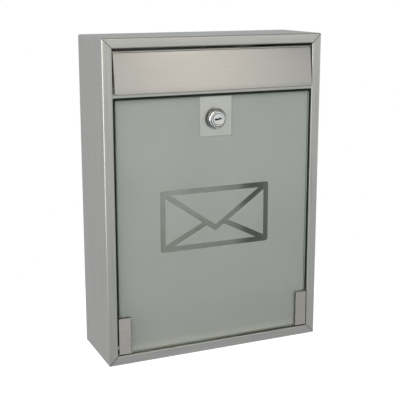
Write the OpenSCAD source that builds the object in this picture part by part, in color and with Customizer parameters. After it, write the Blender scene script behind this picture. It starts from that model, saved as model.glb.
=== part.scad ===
// Wall mounted mailbox: a folded stainless case with a mail flap over a frosted glass door.
// Millimetres. The origin is the centre of the rear face, where the box meets the wall.
// +X is to the right seen from the front, +Y goes into the wall and +Z is up.

/* [Case] */
// Width of the case
case_w = 282; // [270:1:310]
// Height of the case
case_h = 390; // [375:1:430]
// Depth of the case from its front flange to the wall
case_d = 95; // [90:1:120]
// Thickness of the case sheet
sheet = 1; // [0.8:0.1:1.2]
// Width of the front flange
flange_w = 12; // [10:1:16]
// Depth of the return folded in from the front flange
return_d = 16; // [15:1:20]
// Outside radius of the long edges that run from front to rear
corner_r = 3; // [2.5:0.5:4]
// Outside radius of the folds at the front and the rear
fold_r = 2; // [1.5:0.5:2.5]

/* [Rear plate] */
// Thickness of the rear plate
plate_t = 1; // [0.8:0.1:1.5]
// Distance between the wall holes from left to right
hole_dx = 210; // [180:5:220]
// Distance between the wall holes from top to bottom
hole_dz = 300; // [250:5:320]
// Diameter of the wall holes
hole_d = 6; // [5:0.5:8]

/* [Mail flap] */
// Height of the flap's face
flap_h = 47; // [40:1:60]
// How far the flap's lower edge stands out from its upper edge
flap_lean = 6; // [4:0.5:8]
// Thickness of the flap's sheet
flap_t = 0.8; // [0.7:0.1:0.9]
// Gap on each side of the flap
flap_gap = 1.7; // [1.6:0.1:2.5]
// Diameter of the rod that the flap turns on
rod_d = 2.5; // [2.4:0.1:2.6]

/* [Crossbar] */
// Height of the crossbar's face
bar_h = 9; // [8:0.5:12]
// How far the crossbar shows below the flap
bar_show = 4; // [3:0.5:5]
// How far the lip hangs below the crossbar to stop the door and take the cam
lip_drop = 10; // [9:0.5:12]

/* [Glass door] */
// Thickness of the glass
glass_t = 4; // [4:0.5:4.5]
// Gap on each side of the glass
glass_gap = 3; // [3:0.5:4]
// Gap above the glass
glass_gap_top = 3; // [2.5:0.5:4]
// Gap below the glass
glass_gap_low = 2; // [2:0.5:4]
// Thickness of the print behind the glass
print_t = 0.1; // [0.1:0.05:0.2]
// Width of the clear border round the print
print_edge = 1; // [0.5:0.5:4]

/* [Envelope on the print] */
// Width of the envelope
envelope_w = 144; // [120:2:180]
// Height of the envelope
envelope_h = 76; // [60:2:90]
// Height of the envelope's centre
envelope_z = -24; // [-60:2:0]
// Width of the envelope's lines
line_w = 6.5; // [4:0.5:8]

/* [Lock] */
// Distance from the top of the glass to the lock's centre
lock_down = 27; // [26:0.5:28]
// Radius of the lock's bezel
bezel_r = 12.5; // [12:0.5:14]
// Height of the bezel above its washer
bezel_h = 4; // [3.5:0.5:4.5]
// Radius of the threaded barrel
barrel_r = 9; // [8.5:0.25:9]
// Radius of the plug
plug_r = 6.45; // [6.2:0.05:6.6]
// Reach of the cam from the lock's centre
cam_reach = 27; // [26:0.5:29]

/* [Door hinge] */
// Width of a hinge clip
clip_w = 15; // [12:1:20]
// Height of a hinge clip
clip_h = 45; // [40:1:60]
// Thickness of the clip liners
liner_t = 0.6; // [0.5:0.1:0.7]
// Radius of the hinge pins
pin_r = 1.5; // [1.4:0.1:1.6]

/* [Hidden] */
$fn = 64;

// Long enough to cut through anything
through = 1000;
// Radial clearance of a pin or shaft that turns, and the slack of a part that is only pushed in
running_gap = 0.05;

// Case
front_y = -case_d;
shell_d = case_d - plate_t;
open_x = case_w / 2 - flange_w;
open_z = case_h / 2 - flange_w;
roll_r = 1.5;
rear_flange_w = 12;
plate_inset = fold_r;
mitre_w = 0.35;
mitre_depth = 0.5;

// Mail flap, as the centre line of its sheet
flap_x = open_x - flap_gap;
flap_top = [front_y + 3 + flap_t / 2, open_z - 5 - flap_t / 2];
flap_low = flap_top - [flap_lean, flap_h - flap_t];
flap_angle = atan2(flap_lean, flap_h - flap_t);
flap_up = [sin(flap_angle), cos(flap_angle)];
flap_inward = [cos(flap_angle), -sin(flap_angle)];
hem_len = 6;
hem_pitch = flap_t + 0.1;
rod_at = [front_y + 6.8, open_z - 4.4];
rod_half = open_x + 5;
curl_in = rod_d / 2 + running_gap;
curl_out = curl_in + flap_t;
curl_slit_w = 0.4;
curl_slit_angle = 205;
web_angle = 239;
push_clip_r = 4;
push_clip_t = 1;

// Crossbar
bar_low_z = flap_low[1] - flap_t / 2 - bar_show;
bar_top_z = bar_low_z + bar_h;
bar_y = front_y + 2;
bar_shelf_d = 9;
lip_y = bar_y + 6.5;
ear_h = bar_h + 3.6;
ear_d = 10;
rivet_y = [bar_y + 3.4, bar_y + 7.8];
rivet_z = bar_low_z + bar_h / 2;
rivet_r = 1.2;
rivet_head_r = 2;
rivet_head_t = 0.6;
pad = [14, 2.4, 3.5];
pad_in = 26;
pad_down = 4.5;
side_seal_w = 5.5;
side_seal_wall = 0.8;
side_seal_front_y = front_y + 2;
seal_x = open_x - side_seal_w - 0.2;
seal_margin = 0.5;
clear_of_lock = 0.3;
seal_gap = 0.4;
side_seal_clear = 2;

// Glass door
glass_x = open_x - glass_gap;
glass_low_z = -open_z + glass_gap_low;
glass_top_z = bar_low_z - glass_gap_top;
glass_y = front_y + 1;
glass_back_y = glass_y + glass_t;
print_back_y = glass_back_y + print_t;
window_half = 20.8;
window_h = 48;
point_drop = 0.18;
fold_share = 0.16;

// Lock, from the front of the plug back to the head of the cam screw
lock_z = glass_top_z - lock_down;
washer_t = 0.5;
washer_r = bezel_r - 0.5;
bezel_y = glass_y - washer_t;
barrel_flat = barrel_r - 0.8;
barrel_back_y = glass_back_y + 4.2;
lock_plate_t = 1;
plate_lap = 1.2;
nut_y = print_back_y + lock_plate_t;
nut_t = 2.8;
nut_r = 13.5;
plug_proud = 0.2;
plug_front_y = bezel_y - bezel_h - plug_proud;
plug_back_y = barrel_back_y + 0.2;
tail_r = 4;
tail_flat = 3.2;
cam_t = 2;
cam_hub_r = 8;
cam_tip_r = 5.5;
cam_y = plug_back_y;
keyway_depth = 9.5;
// The keyway's three steps, each by its left and lower edge, its width and its height
keyway_steps = [[-4.4, -1.6, 3.6, 2.3], [-1.6, -1, 3.2, 1.8], [0.8, -0.6, 3.6, 2.1]];
wafer_count = 4;
wafer_pitch = 1.7;
wafer_t = 0.8;
wafer_l = 11.2;
wafer_h = 6;
wafer_slack = 0.1;
wafer_window_w = 9.2;
wafer_window_h = 3.4;
wafer_shift = 0.6;
screw_r = 2;
screw_head_r = 3.8;
screw_head_t = 2.2;
screw_len = 4;

// Door hinge
clip_low_z = glass_low_z;
clip_mid_z = clip_low_z + clip_h / 2;
clip_out_x = glass_x + liner_t + sheet;
clip_in_x = clip_out_x - clip_w;
clip_front_y = glass_y - liner_t - sheet;
clip_back_y = glass_back_y + liner_t + sheet;
liner_show = 0.4;
hinge_y = front_y + 4.5;
hinge_z = clip_low_z + 7.5;
collar_r = 2.6;
collar_t = 0.3;
bush_r = pin_r + 0.9;
bush_head_r = bush_r + 0.7;
bush_head_t = 0.7;
pin_end_x = open_x + 4;
boss_r = 3.6;
boss_t = 2;
grub_x = clip_in_x + 6.5;

// Colours
steel = [0.68, 0.68, 0.66];
bright_steel = [0.76, 0.75, 0.72];
chrome = [0.86, 0.87, 0.88];
brass = [0.78, 0.64, 0.36];
glass = [0.62, 0.72, 0.69, 0.5];
frost = [0.78, 0.82, 0.8];
rubber = [0.12, 0.12, 0.12];
nylon = [0.9, 0.9, 0.86];

// Rectangle with round corners, centred
module round_rect(w, h, r) {
    square([w - 2 * r, h], center = true);
    square([w, h - 2 * r], center = true);
    for (sx = [-1, 1], sy = [-1, 1])
        translate([sx * (w / 2 - r), sy * (h / 2 - r)]) circle(r = r);
}

// Strip of sheet seen edge on: a centre line through the points, rounded at each of them
module strip(points, t) {
    for (i = [0 : len(points) - 2]) {
        run = points[i + 1] - points[i];
        translate(points[i]) rotate(atan2(run[1], run[0])) translate([0, -t / 2]) square([norm(run), t]);
    }
    for (p = points) translate(p) circle(d = t);
}

// Carries an outline drawn in Y and Z along X, from x0 to x1
module along_x(x0, x1) {
    translate([x0, 0, 0]) rotate([90, 0, 90]) linear_extrude(x1 - x0) children();
}

// Carries an outline drawn in X and Z along Y, from y0 to y1
module along_y(y0, y1) {
    translate([0, y1, 0]) rotate([90, 0, 0]) linear_extrude(y1 - y0) children();
}

// Round bar along X
module bar_x(r, x0, x1, at) {
    translate([x0, at[0], at[1]]) rotate([0, 90, 0]) cylinder(r = r, h = x1 - x0);
}

// Round bar along Y
module bar_y_round(r, y0, y1, at) {
    translate([at[0], y0, at[1]]) rotate([-90, 0, 0]) cylinder(r = r, h = y1 - y0);
}

// Both sides of the box: the child as drawn and its mirror image
module both_sides() {
    children();
    mirror([1, 0, 0]) children();
}

// Closed box with every edge rounded, drawn in by inset on all sides
module case_form(inset) {
    w = case_w - 2 * inset;
    h = case_h - 2 * inset;
    d = shell_d - 2 * inset;
    translate([0, front_y + shell_d / 2, 0]) intersection() {
        rotate([90, 0, 0]) linear_extrude(through, center = true) round_rect(w, h, corner_r - inset);
        rotate([90, 0, 90]) linear_extrude(through, center = true) round_rect(d, h, fold_r - inset);
        linear_extrude(through, center = true) round_rect(w, d, fold_r - inset);
    }
}

// The opening against depth: straight walls, with a mouth rolled back to the front face
module mouth_outline(half) {
    translate([-half, front_y - sheet]) square([2 * half, return_d + 2 * sheet]);
    difference() {
        translate([-half - roll_r, front_y - sheet]) square([2 * (half + roll_r), roll_r + sheet]);
        for (side = [-1, 1]) translate([side * (half + roll_r), front_y + roll_r]) circle(r = roll_r);
    }
}

// Everything inside the four returns
module mouth() {
    intersection() {
        linear_extrude(through, center = true) mouth_outline(open_x);
        rotate([0, 90, 0]) linear_extrude(through, center = true) mouth_outline(open_z);
    }
}

// Folded case with its front flange, returns and rear flange
module body_shell() {
    rear_x = case_w / 2 - sheet - rear_flange_w;
    rear_z = case_h / 2 - sheet - rear_flange_w;
    color(steel) difference() {
        union() {
            difference() {
                case_form(0);
                case_form(sheet);
            }
            translate([-open_x - sheet, front_y + sheet, -open_z - sheet])
                cube([2 * (open_x + sheet), return_d - sheet, 2 * (open_z + sheet)]);
        }
        mouth();
        translate([-rear_x, -4 * sheet, -rear_z]) cube([2 * rear_x, 8 * sheet, 2 * rear_z]);
        for (sx = [-1, 1], sz = [-1, 1])
            translate([sx * (case_w - flange_w) / 2, front_y, sz * (case_h - flange_w) / 2])
                rotate([0, -sx * sz * 45, 0])
                    cube([2 * flange_w, 2 * mitre_depth, mitre_w], center = true);
        both_sides() {
            bar_x(rod_d / 2 + running_gap, open_x - 1, open_x + 2 * sheet, rod_at);
            bar_x(bush_r + running_gap, open_x - 1, open_x + 2 * sheet, [hinge_y, hinge_z]);
            for (y = rivet_y) bar_x(rivet_r, open_x - 1, open_x + 2 * sheet, [y, rivet_z]);
        }
    }
}

// Rear plate with the four wall holes
module back_panel() {
    color(steel) difference() {
        along_y(-plate_t, 0) round_rect(case_w - 2 * plate_inset, case_h - 2 * plate_inset, corner_r);
        for (sx = [-1, 1], sz = [-1, 1])
            bar_y_round(hole_d / 2, -2 * plate_t, plate_t, [sx * hole_dx / 2, sz * hole_dz / 2]);
    }
}

// Folded crossbar: shelf, face and lip, with a riveted ear at each end
module crossbar() {
    half = sheet / 2;
    color(steel) difference() {
        union() {
            along_x(-open_x, open_x) strip([
                [bar_y + bar_shelf_d - half, bar_top_z - half],
                [bar_y + half, bar_top_z - half],
                [bar_y + half, bar_low_z + half],
                [lip_y - half, bar_low_z + half],
                [lip_y - half, bar_low_z - lip_drop + half]], sheet);
            both_sides() along_x(open_x - sheet, open_x)
                translate([bar_y, bar_low_z]) square([ear_d, ear_h]);
        }
        both_sides() for (y = rivet_y)
            bar_x(rivet_r, open_x - 2 * sheet, open_x + sheet, [y, rivet_z]);
    }
}

// Four rivets through the crossbar's ears and the returns
module crossbar_rivets() {
    color(bright_steel) both_sides() for (y = rivet_y) {
        bar_x(rivet_r, open_x - sheet, open_x + sheet, [y, rivet_z]);
        bar_x(rivet_head_r, open_x - sheet - rivet_head_t, open_x - sheet, [y, rivet_z]);
        bar_x(rivet_head_r, open_x + sheet, open_x + sheet + rivet_head_t, [y, rivet_z]);
    }
}

// Rod that the flap hangs from
module flap_hinge_rod() {
    color(bright_steel) bar_x(rod_d / 2, -rod_half, rod_half, rod_at);
}

// Push-on retainers on the ends of the rod
module flap_rod_clips() {
    color(steel) both_sides() difference() {
        bar_x(push_clip_r, open_x + sheet, open_x + sheet + push_clip_t, rod_at);
        bar_x(rod_d / 2, open_x, open_x + sheet + 2 * push_clip_t, rod_at);
    }
}

// Rubber pads on the crossbar's face that the flap closes on
module flap_bumpers() {
    color(rubber) both_sides() translate([open_x - pad_in, bar_y - pad[1], bar_top_z - pad_down])
        cube(pad);
}

// Rubber strip on the crossbar's lip that closes the gap above the glass
module door_seal() {
    front_of_seal_y = nut_y + clear_of_lock;
    color(rubber) translate([-seal_x, front_of_seal_y, bar_low_z - lip_drop + seal_margin])
        cube([2 * seal_x, lip_y - sheet - front_of_seal_y, lip_drop - 2 * seal_margin]);
}

// Rubber strips along the two returns, each an L: a wall beside the glass and a foot behind its edge
module door_side_seals() {
    foot_front_y = print_back_y + seal_gap;
    foot_back_y = lip_y - sheet - seal_gap;
    low_z = clip_low_z + clip_h + side_seal_clear;
    color(rubber) both_sides() translate([0, 0, low_z])
        linear_extrude(bar_low_z - seal_margin - low_z) {
            translate([open_x - side_seal_wall, side_seal_front_y])
                square([side_seal_wall, foot_back_y - side_seal_front_y]);
            translate([open_x - side_seal_w, foot_front_y]) square([side_seal_w, foot_back_y - foot_front_y]);
        }
}

// Nylon bushes in the returns for the door's pins
module hinge_bushes() {
    color(nylon) both_sides() difference() {
        union() {
            bar_x(bush_head_r, open_x - bush_head_t, open_x, [hinge_y, hinge_z]);
            bar_x(bush_r, open_x, open_x + 2 * sheet, [hinge_y, hinge_z]);
        }
        bar_x(pin_r + running_gap, open_x - 2, open_x + 4 * sheet, [hinge_y, hinge_z]);
    }
}

// Mail flap: hem, face, web and the curl round the rod
module mail_flap() {
    hem_low = flap_low + flap_inward * hem_pitch;
    web_end = rod_at + (curl_in + flap_t / 2) * [cos(web_angle), sin(web_angle)];
    color(bright_steel) along_x(-flap_x, flap_x) difference() {
        union() {
            strip([hem_low + flap_up * hem_len, hem_low, flap_low, flap_top, web_end], flap_t);
            translate(rod_at) circle(r = curl_out);
        }
        translate(rod_at) circle(r = curl_in);
        translate(rod_at) rotate(curl_slit_angle)
            translate([0, -curl_slit_w / 2]) square([curl_out + 0.1, curl_slit_w]);
    }
}

// Glass door with the hole for the lock
module glass_panel() {
    color(glass) difference() {
        translate([-glass_x, glass_y, glass_low_z]) cube([2 * glass_x, glass_t, glass_top_z - glass_low_z]);
        bar_y_round(barrel_r + 0.6, glass_y - 1, glass_back_y + 1, [0, lock_z]);
    }
}

// Line of the envelope between two points
module envelope_line(from, to) {
    strip([from, to], line_w);
}

// The envelope's outline and folds: two lines meet under the flap's point and two rise from the low corners
module envelope() {
    reach = [(envelope_w - line_w) / 2, (envelope_h - line_w) / 2];
    point_z = -point_drop * envelope_h;
    slope = (reach[1] - point_z) / reach[0];
    fold_x = fold_share * reach[0];
    for (side = [-1, 1]) {
        envelope_line([side * reach[0], reach[1]], [0, point_z]);
        envelope_line([side * reach[0], -reach[1]], [side * fold_x, point_z + slope * fold_x]);
        envelope_line([side * reach[0], -reach[1]], [side * reach[0], reach[1]]);
        envelope_line([-reach[0], side * reach[1]], [reach[0], side * reach[1]]);
    }
}

// Frosted print on the rear of the glass, left clear at the envelope and round the lock
module frosted_print() {
    low_z = glass_low_z + print_edge;
    color(frost) along_y(glass_back_y, print_back_y) difference() {
        translate([-glass_x + print_edge, low_z])
            square([2 * (glass_x - print_edge), glass_top_z - low_z]);
        translate([-window_half, glass_top_z - window_h]) square([2 * window_half, window_h + 1]);
        translate([0, envelope_z]) envelope();
    }
}

// Steel plate behind the clear window, with a hole that keys the barrel
module lock_plate() {
    color(bright_steel) difference() {
        translate([-window_half - plate_lap, print_back_y, glass_top_z - window_h - plate_lap])
            cube([2 * (window_half + plate_lap), lock_plate_t, window_h + plate_lap]);
        barrel_form(running_gap);
    }
}

// The barrel as a solid with two flats, made larger all round by grow
module barrel_form(grow) {
    intersection() {
        bar_y_round(barrel_r + grow, bezel_y, barrel_back_y, [0, lock_z]);
        translate([-barrel_r - 1, front_y - 1, lock_z - barrel_flat - grow])
            cube([2 * barrel_r + 2, case_d, 2 * (barrel_flat + grow)]);
    }
}

// Washer between the bezel and the glass
module lock_gasket() {
    color(rubber) difference() {
        bar_y_round(washer_r, bezel_y, glass_y, [0, lock_z]);
        bar_y_round(barrel_r + 0.3, bezel_y - 1, glass_y + 1, [0, lock_z]);
    }
}

// Section of the bezel: a flat face that rolls down to the washer, with a turned groove
module bezel_section() {
    face_r = bezel_r - bezel_h;
    difference() {
        intersection() {
            union() {
                translate([face_r, 0]) circle(r = bezel_h);
                square([face_r, bezel_h]);
            }
            square([bezel_r, bezel_h]);
        }
        translate([face_r - 1, bezel_h - 0.3]) square([0.4, 1]);
    }
}

// Bezel and barrel of the lock, bored for the plug
module lock_housing() {
    color(chrome) difference() {
        union() {
            translate([0, bezel_y, lock_z]) rotate([90, 0, 0]) rotate_extrude() bezel_section();
            barrel_form(0);
        }
        bar_y_round(plug_r + running_gap, front_y - 2 * bezel_h, front_y + case_d, [0, lock_z]);
    }
}

// Hexagon nut that clamps the lock to the plate
module lock_nut() {
    color(steel) difference() {
        along_y(nut_y, nut_y + nut_t) translate([0, lock_z]) circle(r = nut_r, $fn = 6);
        bar_y_round(barrel_r + running_gap, nut_y - 1, nut_y + nut_t + 1, [0, lock_z]);
    }
}

// Section of the keyway: a slot in three steps
module keyway_section() {
    for (step = keyway_steps) translate([step[0], step[1]]) square([step[2], step[3]]);
}

// Depth of each wafer's front face
function wafer_y(i) = plug_front_y + 1.8 + i * wafer_pitch;

// Plug with its keyway, wafer slots and a flatted tail for the cam
module lock_plug() {
    color(chrome) difference() {
        union() {
            bar_y_round(plug_r, plug_front_y, plug_back_y, [0, lock_z]);
            tail_form(plug_back_y + cam_t);
        }
        along_y(plug_front_y - 1, plug_front_y + keyway_depth) translate([0, lock_z]) keyway_section();
        for (i = [0 : wafer_count - 1])
            translate([-plug_r - 1, wafer_y(i) - wafer_slack, lock_z - wafer_h / 2 - wafer_slack])
                cube([2 * plug_r + 2, wafer_t + 2 * wafer_slack, wafer_h + 2 * wafer_slack]);
        bar_y_round(screw_r, plug_back_y + cam_t - screw_len - 0.5, plug_back_y + cam_t + 1, [0, lock_z]);
    }
}

// The tail as a solid with two flats, from inside the plug back to y1, made larger all round by grow
module tail_form(y1, grow = 0) {
    intersection() {
        bar_y_round(tail_r + grow, plug_back_y - 1, y1, [0, lock_z]);
        translate([-tail_r - 1, plug_back_y - 2, lock_z - tail_flat - grow])
            cube([2 * tail_r + 2, cam_t + 6, 2 * (tail_flat + grow)]);
    }
}

// Wafers that slide across the plug, each with a window for the key
module lock_wafers() {
    color(brass) for (i = [0 : wafer_count - 1])
        translate([0, 0, lock_z]) along_y(wafer_y(i), wafer_y(i) + wafer_t) difference() {
            square([wafer_l, wafer_h], center = true);
            translate([(i % 2 - 0.5) * wafer_shift, 0]) square([wafer_window_w, wafer_window_h], center = true);
        }
}

// Cam that swings up behind the crossbar's lip
module lock_cam() {
    tip_x = -cam_reach + cam_tip_r;
    color(steel) difference() {
        along_y(cam_y, cam_y + cam_t) translate([0, lock_z]) {
            circle(r = cam_hub_r);
            translate([tip_x, 0]) circle(r = cam_tip_r);
            translate([tip_x, -cam_tip_r]) square([-tip_x, 2 * cam_tip_r]);
        }
        tail_form(cam_y + cam_t + 1, running_gap);
    }
}

// Screw that holds the cam on the plug's tail, with a cross slot
module cam_screw() {
    head_y = cam_y + cam_t;
    slot = [4.4, 2, 1];
    color(bright_steel) difference() {
        union() {
            bar_y_round(screw_head_r, head_y, head_y + screw_head_t, [0, lock_z]);
            bar_y_round(screw_r - running_gap, head_y - screw_len, head_y, [0, lock_z]);
        }
        for (turn = [0, 90])
            translate([0, head_y + screw_head_t, lock_z]) rotate([0, turn, 0]) cube(slot, center = true);
    }
}

// Hinge clip at the right: a channel round the glass edge, with a boss for the grub screw
module hinge_clip() {
    half = sheet / 2;
    color(bright_steel) difference() {
        union() {
            translate([0, 0, clip_low_z]) linear_extrude(clip_h) strip([
                [clip_in_x + half, clip_front_y + half],
                [clip_out_x - half, clip_front_y + half],
                [clip_out_x - half, clip_back_y - half],
                [clip_in_x + half, clip_back_y - half]], sheet);
            bar_y_round(boss_r, clip_back_y - half, clip_back_y + boss_t, [grub_x, clip_mid_z]);
        }
        bar_y_round(screw_r, glass_back_y + liner_t, clip_back_y + boss_t + 1, [grub_x, clip_mid_z]);
        bar_x(pin_r, clip_out_x - 2 * sheet, clip_out_x + sheet, [hinge_y, hinge_z]);
    }
}

module hinge_clip_right() {
    hinge_clip();
}

module hinge_clip_left() {
    mirror([1, 0, 0]) hinge_clip();
}

// Liner at the right: a thin channel between the clip and the glass that shows past the clip's edges
module clip_liner() {
    color(rubber) translate([0, 0, clip_low_z]) linear_extrude(clip_h + liner_show) difference() {
        translate([clip_in_x - liner_show, glass_y - liner_t])
            square([glass_x + liner_t - clip_in_x + liner_show, glass_t + 2 * liner_t]);
        translate([0, glass_y]) square([glass_x, glass_t + print_t]);
    }
}

module clip_liner_right() {
    clip_liner();
}

module clip_liner_left() {
    mirror([1, 0, 0]) clip_liner();
}

// Pin at the right, with a collar against the clip
module hinge_pin() {
    color(bright_steel) {
        bar_x(pin_r, clip_out_x - sheet, pin_end_x, [hinge_y, hinge_z]);
        bar_x(collar_r, clip_out_x, clip_out_x + collar_t, [hinge_y, hinge_z]);
    }
}

module hinge_pin_right() {
    hinge_pin();
}

module hinge_pin_left() {
    mirror([1, 0, 0]) hinge_pin();
}

// Grub screws that clamp the glass in the clips, with hexagon sockets
module clip_screws() {
    end_y = clip_back_y + boss_t;
    color(steel) both_sides() difference() {
        bar_y_round(screw_r, glass_back_y + liner_t, end_y, [grub_x, clip_mid_z]);
        along_y(end_y - 1.2, end_y + 1) translate([grub_x, clip_mid_z]) circle(r = 1.15, $fn = 6);
    }
}

body_shell();
back_panel();
crossbar();
crossbar_rivets();
flap_hinge_rod();
flap_rod_clips();
flap_bumpers();
door_seal();
door_side_seals();
hinge_bushes();
mail_flap();
glass_panel();
frosted_print();
lock_plate();
lock_gasket();
lock_housing();
lock_nut();
hinge_clip_left();
hinge_clip_right();
clip_liner_left();
clip_liner_right();
hinge_pin_left();
hinge_pin_right();
clip_screws();
lock_plug();
lock_wafers();
lock_cam();
cam_screw();
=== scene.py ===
"""Wall mailbox of folded stainless steel with a mail flap over a frosted glass door.

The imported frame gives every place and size. Lengths are metres in the frame and millimetres where a
name or comment says mm. +X is to the right seen from the front, +Y goes into the wall, +Z is up.
"""

import math

import bmesh
import bpy
import numpy as np
from mathutils import Euler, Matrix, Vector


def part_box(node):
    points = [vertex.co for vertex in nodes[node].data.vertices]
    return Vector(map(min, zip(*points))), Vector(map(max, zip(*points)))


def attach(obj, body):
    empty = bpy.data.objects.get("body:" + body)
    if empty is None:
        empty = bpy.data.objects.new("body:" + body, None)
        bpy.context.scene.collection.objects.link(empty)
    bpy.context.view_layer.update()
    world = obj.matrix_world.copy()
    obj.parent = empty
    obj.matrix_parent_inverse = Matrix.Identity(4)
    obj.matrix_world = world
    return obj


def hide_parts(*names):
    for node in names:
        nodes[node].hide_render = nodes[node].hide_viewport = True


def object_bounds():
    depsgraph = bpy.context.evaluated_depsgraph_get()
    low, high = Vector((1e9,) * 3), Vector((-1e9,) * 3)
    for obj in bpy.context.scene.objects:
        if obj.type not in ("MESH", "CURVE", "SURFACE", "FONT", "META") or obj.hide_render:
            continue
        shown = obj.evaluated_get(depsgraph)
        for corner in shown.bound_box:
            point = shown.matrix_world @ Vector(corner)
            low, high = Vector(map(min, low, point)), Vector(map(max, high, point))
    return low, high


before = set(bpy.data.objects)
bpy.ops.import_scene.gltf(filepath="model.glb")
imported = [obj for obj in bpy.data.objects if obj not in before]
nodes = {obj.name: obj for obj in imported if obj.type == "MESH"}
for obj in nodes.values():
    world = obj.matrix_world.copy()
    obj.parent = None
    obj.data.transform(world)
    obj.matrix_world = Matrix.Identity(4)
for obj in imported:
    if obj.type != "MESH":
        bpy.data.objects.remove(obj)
cad_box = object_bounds()

MM = 0.001
TURN = 2 * math.pi
BEZEL_H = 4.0       # mm, from the lock's face back to its washer
LOCK_HOLE_R = 9.6   # mm, the hole in the glass that the lock sits in


# Meshes -------------------------------------------------------------------------------------------

def box_mm(node):
    """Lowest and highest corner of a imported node, in mm."""
    low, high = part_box(node)
    return np.array(low) / MM, np.array(high) / MM


def surface(name, points, wrap_u=True, wrap_v=True, sharp_deg=35):
    """A mesh from a grid of points in mm, n by m by 3: each cell of four neighbours is one face, and a
    wrapped side joins its last row to its first. Rows that shrink to a point are merged."""
    n, m = points.shape[:2]
    u = np.arange(n if wrap_u else n - 1)
    v = np.arange(m if wrap_v else m - 1)
    uu, vv = (a.ravel() for a in np.meshgrid(u, v, indexing="ij"))
    un, vn = (uu + 1) % n, (vv + 1) % m
    faces = np.stack([uu * m + vv, un * m + vv, un * m + vn, uu * m + vn], 1)
    mesh = bpy.data.meshes.new(name)
    mesh.from_pydata((points.reshape(-1, 3) * MM).tolist(), [], faces.tolist())
    finish_mesh(mesh, sharp_deg)
    return mesh


def finish_mesh(mesh, sharp_deg):
    """Merges doubles, turns the faces outwards and keeps edges sharper than sharp_deg crisp."""
    form = bmesh.new()
    form.from_mesh(mesh)
    bmesh.ops.remove_doubles(form, verts=form.verts, dist=1e-6)
    bmesh.ops.dissolve_degenerate(form, edges=form.edges, dist=1e-7)
    bmesh.ops.recalc_face_normals(form, faces=form.faces)
    form.to_mesh(mesh)
    form.free()
    mesh.polygons.foreach_set("use_smooth", np.ones(len(mesh.polygons), bool))
    mesh.set_sharp_from_angle(angle=math.radians(sharp_deg))
    mesh.update()


def joined(name, meshes, sharp_deg=35):
    """Several meshes as one."""
    form = bmesh.new()
    for mesh in meshes:
        form.from_mesh(mesh)
        bpy.data.meshes.remove(mesh)
    whole = bpy.data.meshes.new(name)
    form.to_mesh(whole)
    form.free()
    whole.polygons.foreach_set("use_smooth", np.ones(len(whole.polygons), bool))
    whole.set_sharp_from_angle(angle=math.radians(sharp_deg))
    return whole


def piece(name, mesh, body, slot, material, *stands_for):
    """Puts a new piece in the scene, with the body it moves with, its finish, and the nodes that it
    replaces, which it hides. The slot it is given is not used."""
    made = bpy.data.objects.new(name, mesh)
    bpy.context.scene.collection.objects.link(made)
    made.data.materials.append(material)
    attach(made, body)
    if stands_for:
        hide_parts(*stands_for)
    return made


def arc(centre, r, start_deg, end_deg, count):
    """Points of an arc: centre + r (cos a, sin a), with a running from start to end in degrees."""
    a = np.radians(np.linspace(start_deg, end_deg, count))
    return np.stack([centre[0] + r * np.cos(a), centre[1] + r * np.sin(a)], 1)


def rounded_outline(low, high, corner_r, side_steps=60, bend_steps=6):
    """Closed outline of a rectangle with round corners, from the start of its lower side: each side in even
    steps, and then the quarter circle at its end."""
    near, far = low + corner_r, high - corner_r
    bends = [arc(centre, corner_r, 90 * quarter - 90, 90 * quarter, bend_steps + 1)
             for quarter, centre in enumerate(((far[0], near[1]), far, (near[0], far[1]), near))]
    outline = []
    for before, bend in zip([bends[-1], *bends[:-1]], bends):
        outline += [np.linspace(before[-1], bend[0], side_steps, endpoint=False), bend[:-1]]
    return np.concatenate(outline)


def closed_run(section, middle, start, end, end_shares):
    """A section carried along a straight run. At its ends it shrinks to its middle: there it has no size,
    then the first share, 0.15 mm on the second, and 0.5 mm on its full size. Gives the rows of points and
    how far along each lies."""
    share = np.array([0, *end_shares, 1, 1, *end_shares[::-1], 0])
    step = np.array([0, 0, 0.15, 0.5])
    rows = middle + (section - middle)[None] * share[:, None, None]
    along = np.concatenate([start + step, end - step[::-1]])
    return rows, np.broadcast_to(along[:, None, None], (*rows.shape[:2], 1))


def turned(profile, centre, along="Y", around=96, reach=None):
    """A turned surface: at angle a the point of the profile (r, d) lies at centre + r (cos a, sin a), d along
    the axis. reach(a, r, d) may hold the radius back, as a flat does."""
    a = (np.arange(around) / around * TURN)[:, None]
    r = np.broadcast_to(profile[:, 0], (around, len(profile)))
    d = np.broadcast_to(profile[:, 1], (around, len(profile)))
    if reach is not None:
        r = reach(a, r, d)
    one, two = centre[0] + r * np.cos(a), centre[1] + r * np.sin(a)
    return np.stack([one, d, two] if along == "Y" else [d, one, two], 2)


# Materials ----------------------------------------------------------------------------------------

def linear(hex_colour):
    """An sRGB hex colour as linear light: c / 12.92 below 0.04045, else ((c + 0.055) / 1.055) ^ 2.4."""
    c = np.array([int(hex_colour[i:i + 2], 16) for i in (1, 3, 5)]) / 255
    light = np.where(c <= 0.04045, c / 12.92, ((c + 0.055) / 1.055) ** 2.4)
    return (*light.tolist(), 1.0)


def add(tree, kind, settings=(), links=()):
    """Adds a node. Settings are properties or inputs by name or number, and links are inputs and what
    feeds them."""
    node = tree.nodes.new("ShaderNode" + kind)
    for key, value in dict(settings).items():
        if isinstance(key, str) and hasattr(node, key):
            setattr(node, key, value)
        else:
            node.inputs[key].default_value = value
    for key, source in dict(links).items():
        tree.links.new(source, node.inputs[key])
    return node


def finish(name):
    """An empty material: it, its tree and its Object coordinates."""
    made = bpy.data.materials.new(name)
    made.use_nodes = True
    tree = made.node_tree
    tree.nodes.clear()
    place = add(tree, "TexCoord").outputs["Object"]
    return made, tree, place


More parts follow.
